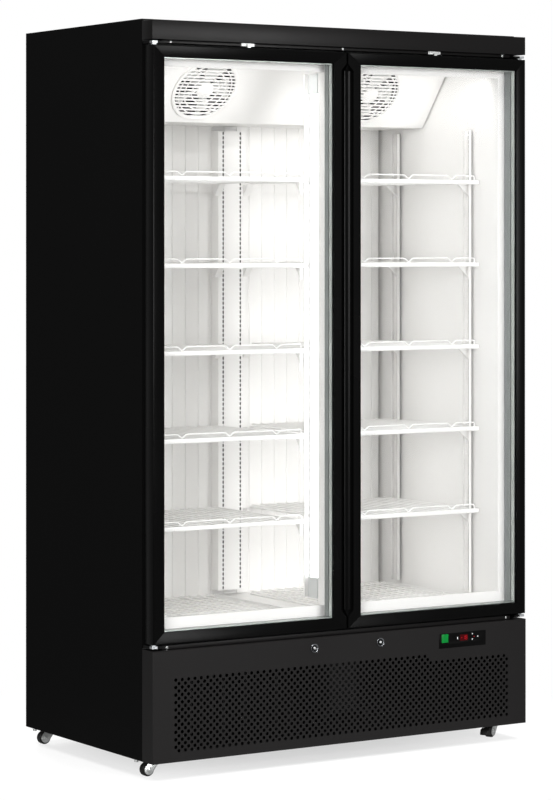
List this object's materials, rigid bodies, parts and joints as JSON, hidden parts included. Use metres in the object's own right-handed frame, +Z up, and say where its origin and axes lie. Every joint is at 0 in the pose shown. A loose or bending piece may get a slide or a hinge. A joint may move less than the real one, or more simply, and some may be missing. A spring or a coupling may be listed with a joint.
{
  "type": "display freezer",
  "caption": "Black upright glass-door display freezer with two hinged doors, white wire shelves, lit middle post, perforated lower panel with locks and controls, on casters",
  "frame": {"origin": "floor level under the centre of the overall box", "axes": "+X to the right seen from the front, +Y to the back, +Z up; doors face -Y"},
  "size_m": [1.22, 0.712, 1.99],
  "materials": {
    "black_paint": "powder coated sheet steel",
    "charcoal_paint": "powder coated sheet steel",
    "zinc_sheet": "zinc coated sheet",
    "foam": "polyurethane foam",
    "white_liner": "white coated sheet",
    "white_plastic": "white extruded plastic",
    "white_paint": "white powder coat",
    "white_wire": "white plastic coated wire",
    "lamp_housing": "grey lamp housing",
    "lamp_light": "frosted diffuser",
    "motor_black": "black motor",
    "fin_aluminium": "mill finish fins",
    "black_plastic": "smooth black plastic",
    "display_red": "red lit display window",
    "switch_green": "green lit rocker",
    "key_grey": "soft key",
    "lock_chrome": "bright chrome",
    "hinge_zinc": "zinc plated steel",
    "base_steel": "black base",
    "compressor_black": "black enamel",
    "fan_plastic": "moulded fan",
    "door_black": "black anodised extrusion",
    "door_glass": "clear heated glass unit",
    "spacer_aluminium": "bare aluminium spacer",
    "gasket_grey": "magnetic gasket",
    "caster_zinc": "zinc plated pressing",
    "caster_tyre": "black wheel"
  },
  "bodies": {
    "cabinet": {"side_panels": "black_paint", "top_panel": "black_paint", "back_panel": "zinc_sheet", "insulation_foam": "foam", "inner_liner": "white_liner", "front_surround": "white_plastic", "center_mullion": "white_plastic", "mullion_lamp": "lamp_housing", "lamp_diffusers": "lamp_light", "top_fascia": "charcoal_paint", "evaporator_cover": "white_plastic", "fan_grilles": "white_plastic", "fan_motors": "motor_black", "heat_exchangers": "fin_aluminium", "rear_duct_panel": "white_liner", "pilasters": "white_paint", "shelf_clips": "white_paint", "shelf_tier_1": "white_wire", "shelf_tier_2": "white_wire", "shelf_tier_3": "white_wire", "shelf_tier_4": "white_wire", "shelf_tier_5": "white_wire", "shelf_guards": "white_wire", "base_racks": "white_wire", "front_grille": "charcoal_paint", "control_bezel": "black_plastic", "display_window": "display_red", "lock_housings": "lock_chrome", "hinge_brackets": "hinge_zinc", "door_sensors": "hinge_zinc", "base_frame": "base_steel", "compressor": "compressor_black", "rear_grille": "charcoal_paint", "caster_plates": "caster_zinc"},
    "left_door": {"left_door_frame": "door_black", "left_door_glass": "door_glass", "left_door_spacer": "spacer_aluminium", "left_door_gasket": "gasket_grey"},
    "right_door": {"right_door_frame": "door_black", "right_door_glass": "door_glass", "right_door_spacer": "spacer_aluminium", "right_door_gasket": "gasket_grey"},
    "left_fan": {"left_fan": "fan_plastic"},
    "right_fan": {"right_fan": "fan_plastic"},
    "condenser_fan": {"condenser_fan": "fan_plastic"},
    "left_lock_plug": {"left_lock_plug": "lock_chrome"},
    "right_lock_plug": {"right_lock_plug": "lock_chrome"},
    "power_switch": {"power_switch": "switch_green"},
    "key_set": {"key_set": "key_grey"},
    "key_up": {"key_up": "key_grey"},
    "key_down": {"key_down": "key_grey"},
    "key_light": {"key_light": "key_grey"},
    "caster_fork_front_left": {"caster_fork_front_left": "caster_zinc"},
    "caster_wheel_front_left": {"caster_wheel_front_left": "caster_tyre"},
    "caster_fork_front_right": {"caster_fork_front_right": "caster_zinc"},
    "caster_wheel_front_right": {"caster_wheel_front_right": "caster_tyre"},
    "caster_fork_rear_left": {"caster_fork_rear_left": "caster_zinc"},
    "caster_wheel_rear_left": {"caster_wheel_rear_left": "caster_tyre"},
    "caster_fork_rear_right": {"caster_fork_rear_right": "caster_zinc"},
    "caster_wheel_rear_right": {"caster_wheel_rear_right": "caster_tyre"}
  },
  "joints": [
    {"name": "left_door_hinge", "type": "hinge", "parent": "cabinet", "child": "left_door", "pos_m": [-0.595, -0.33, 1.1375], "axis": [0, 0, -1], "range_deg": [0, 110], "stiffness_Nm_per_rad": 3, "springref_deg": -17.19},
    {"name": "right_door_hinge", "type": "hinge", "parent": "cabinet", "child": "right_door", "pos_m": [0.595, -0.33, 1.1375], "axis": [0, 0, 1], "range_deg": [0, 110], "stiffness_Nm_per_rad": 3, "springref_deg": -17.19},
    {"name": "left_fan_spin", "type": "hinge", "parent": "cabinet", "child": "left_fan", "pos_m": [-0.239, -0.001, 1.8265], "axis": [0, -0.7874, -0.6164], "continuous": true},
    {"name": "right_fan_spin", "type": "hinge", "parent": "cabinet", "child": "right_fan", "pos_m": [0.315, -0.001, 1.8265], "axis": [0, -0.7874, -0.6164], "continuous": true},
    {"name": "condenser_fan_spin", "type": "hinge", "parent": "cabinet", "child": "condenser_fan", "pos_m": [-0.3, -0.16, 0.17], "axis": [0, 1, 0], "continuous": true},
    {"name": "left_lock_turn", "type": "hinge", "parent": "cabinet", "child": "left_lock_plug", "pos_m": [-0.108, -0.353, 0.311], "axis": [0, -1, 0], "range_deg": [0, 90]},
    {"name": "right_lock_turn", "type": "hinge", "parent": "cabinet", "child": "right_lock_plug", "pos_m": [0.108, -0.353, 0.311], "axis": [0, -1, 0], "range_deg": [0, 90]},
    {"name": "power_switch_rock", "type": "hinge", "parent": "cabinet", "child": "power_switch", "pos_m": [0.3275, -0.35, 0.304], "axis": [1, 0, 0], "range_deg": [0, 12]},
    {"name": "key_set_press", "type": "slide", "parent": "cabinet", "child": "key_set", "axis": [0, 1, 0], "range_m": [0, 0.0008], "stiffness_N_per_m": 400},
    {"name": "key_up_press", "type": "slide", "parent": "cabinet", "child": "key_up", "axis": [0, 1, 0], "range_m": [0, 0.0008], "stiffness_N_per_m": 400},
    {"name": "key_down_press", "type": "slide", "parent": "cabinet", "child": "key_down", "axis": [0, 1, 0], "range_m": [0, 0.0008], "stiffness_N_per_m": 400},
    {"name": "key_light_press", "type": "slide", "parent": "cabinet", "child": "key_light", "axis": [0, 1, 0], "range_m": [0, 0.0008], "stiffness_N_per_m": 400},
    {"name": "caster_swivel_front_left", "type": "hinge", "parent": "cabinet", "child": "caster_fork_front_left", "pos_m": [-0.558, -0.265, 0.04], "axis": [0, 0, 1], "continuous": true},
    {"name": "caster_roll_front_left", "type": "hinge", "parent": "caster_fork_front_left", "child": "caster_wheel_front_left", "pos_m": [-0.578, -0.265, 0.018], "axis": [0, 1, 0], "continuous": true},
    {"name": "caster_swivel_front_right", "type": "hinge", "parent": "cabinet", "child": "caster_fork_front_right", "pos_m": [0.558, -0.265, 0.04], "axis": [0, 0, 1], "continuous": true},
    {"name": "caster_roll_front_right", "type": "hinge", "parent": "caster_fork_front_right", "child": "caster_wheel_front_right", "pos_m": [0.54034, -0.27439, 0.018], "axis": [-0.4695, 0.8829, 0], "continuous": true},
    {"name": "caster_swivel_rear_left", "type": "hinge", "parent": "cabinet", "child": "caster_fork_rear_left", "pos_m": [-0.558, 0.31, 0.04], "axis": [0, 0, 1], "continuous": true},
    {"name": "caster_roll_rear_left", "type": "hinge", "parent": "caster_fork_rear_left", "child": "caster_wheel_rear_left", "pos_m": [-0.578, 0.31, 0.018], "axis": [0, 1, 0], "continuous": true},
    {"name": "caster_swivel_rear_right", "type": "hinge", "parent": "cabinet", "child": "caster_fork_rear_right", "pos_m": [0.558, 0.31, 0.04], "axis": [0, 0, 1], "continuous": true},
    {"name": "caster_roll_rear_right", "type": "hinge", "parent": "caster_fork_rear_right", "child": "caster_wheel_rear_right", "pos_m": [0.538, 0.31, 0.018], "axis": [0, 1, 0], "continuous": true}
  ]
}
